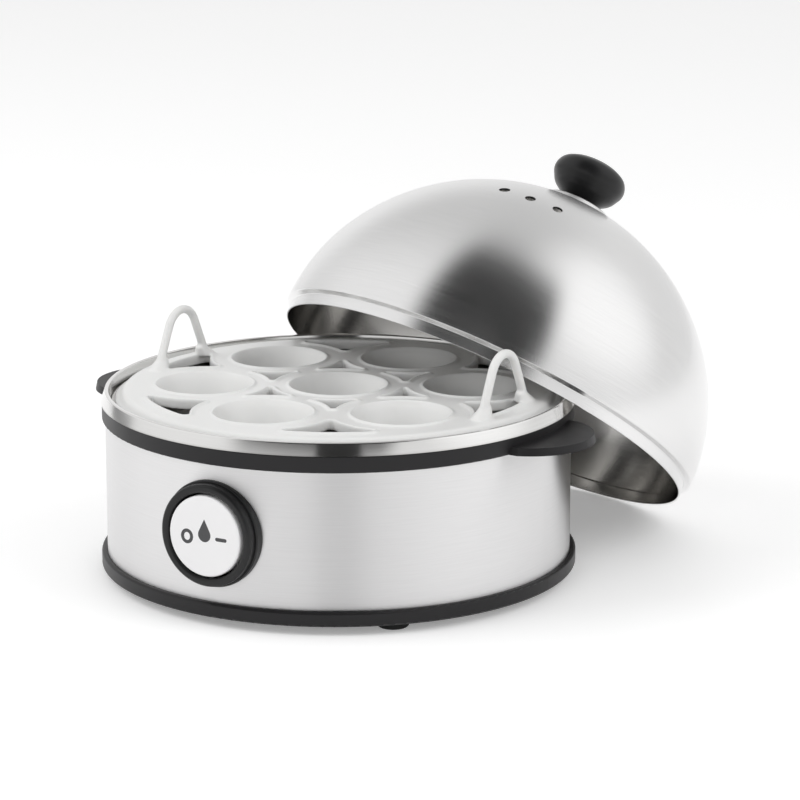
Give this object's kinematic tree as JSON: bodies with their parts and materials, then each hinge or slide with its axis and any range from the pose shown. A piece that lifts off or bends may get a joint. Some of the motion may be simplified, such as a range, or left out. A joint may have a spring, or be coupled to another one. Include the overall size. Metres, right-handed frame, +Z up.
{
  "type": "electric egg cooker",
  "caption": "Round electric egg cooker with a steel band, water pan, white perforated egg tray with lifting loops, round rocker control and a domed steel lid leaning behind.",
  "frame": {"origin": "axis of the round base where it meets the surface that the feet stand on", "axes": "+Z up along the base axis, -Y towards the round control on the front, +X through the right-hand ear"},
  "size_m": [0.1968, 0.2317, 0.1307],
  "materials": {
    "black_plastic": "fine satin moulding",
    "control_black": "smooth semi-gloss",
    "control_white": "smooth satin white",
    "symbol_grey": "translucent dark lens",
    "tray_white": "smooth white food-safe plastic",
    "band_steel": "bright rolled stainless",
    "pan_steel": "bright drawn stainless",
    "lid_steel": "satin spun stainless",
    "fastener_steel": "zinc-plated steel",
    "heater_aluminium": "plain rolled",
    "element_steel": "heat-tinted sheath",
    "foot_rubber": "soft matt",
    "seal_rubber": "silicone",
    "terminal_plastic": "moulded block",
    "switch_plastic": "moulded case",
    "brass_screw": "plain",
    "lamp_glass": "neon lamp"
  },
  "bodies": {
    "base": {"base_cover": "black_plastic", "foot_back_right": "foot_rubber", "foot_back_left": "foot_rubber", "foot_front_left": "foot_rubber", "foot_front_right": "foot_rubber", "steel_band": "band_steel", "top_ring": "black_plastic", "base_screws": "fastener_steel", "boiling_pan": "pan_steel", "pan_seal": "seal_rubber", "spreader_plate": "heater_aluminium", "heating_element": "element_steel", "thermostat_body": "switch_plastic", "thermostat_screws": "fastener_steel", "thermal_fuse": "fastener_steel", "fuse_clip": "fastener_steel", "pan_stud": "fastener_steel", "pan_bridge": "fastener_steel", "bridge_screws": "fastener_steel", "stud_washer": "fastener_steel", "stud_nut": "fastener_steel", "switch_bezel": "control_black", "rocker_pin": "fastener_steel", "switch_body": "switch_plastic", "indicator_lamp": "lamp_glass", "inlet_bushing": "black_plastic", "terminal_block": "terminal_plastic", "terminal_screws": "brass_screw"},
    "tray": {"egg_tray": "tray_white", "egg_seat_middle": "tray_white", "egg_seat_right_back": "tray_white", "egg_seat_back": "tray_white", "egg_seat_left_back": "tray_white", "egg_seat_left_front": "tray_white", "egg_seat_front": "tray_white", "egg_seat_right_front": "tray_white", "tray_loop_right": "tray_white", "tray_loop_left": "tray_white"},
    "lid": {"lid_shell": "lid_steel", "lid_knob": "control_black", "knob_washer": "fastener_steel", "knob_screw": "fastener_steel"},
    "rocker": {"rocker_disc": "control_white", "indicator_lens": "symbol_grey"},
    "plunger": {"switch_plunger": "switch_plastic"}
  },
  "joints": [
    {"name": "lid_lift", "type": "slide", "parent": "base", "child": "lid", "axis": [0, 0, 1], "range_m": [0, 0.2]},
    {"name": "tray_lift", "type": "slide", "parent": "base", "child": "tray", "axis": [0, 0, 1], "range_m": [0, 0.08]},
    {"name": "rocker_tilt", "type": "hinge", "parent": "base", "child": "rocker", "pos_m": [0, -0.0805, 0.0313], "axis": [0, 0, 1], "range_deg": [0, 6]},
    {"name": "plunger_slide", "type": "slide", "parent": "base", "child": "plunger", "axis": [0, 1, 0], "range_m": [0, 0.0009]}
  ],
  "couplings": [
    {"joint": "tray_lift", "follows": "lid_lift", "ratio": 0.4},
    {"joint": "plunger_slide", "follows": "rocker_tilt", "m_per_rad": 0.0085}
  ]
}
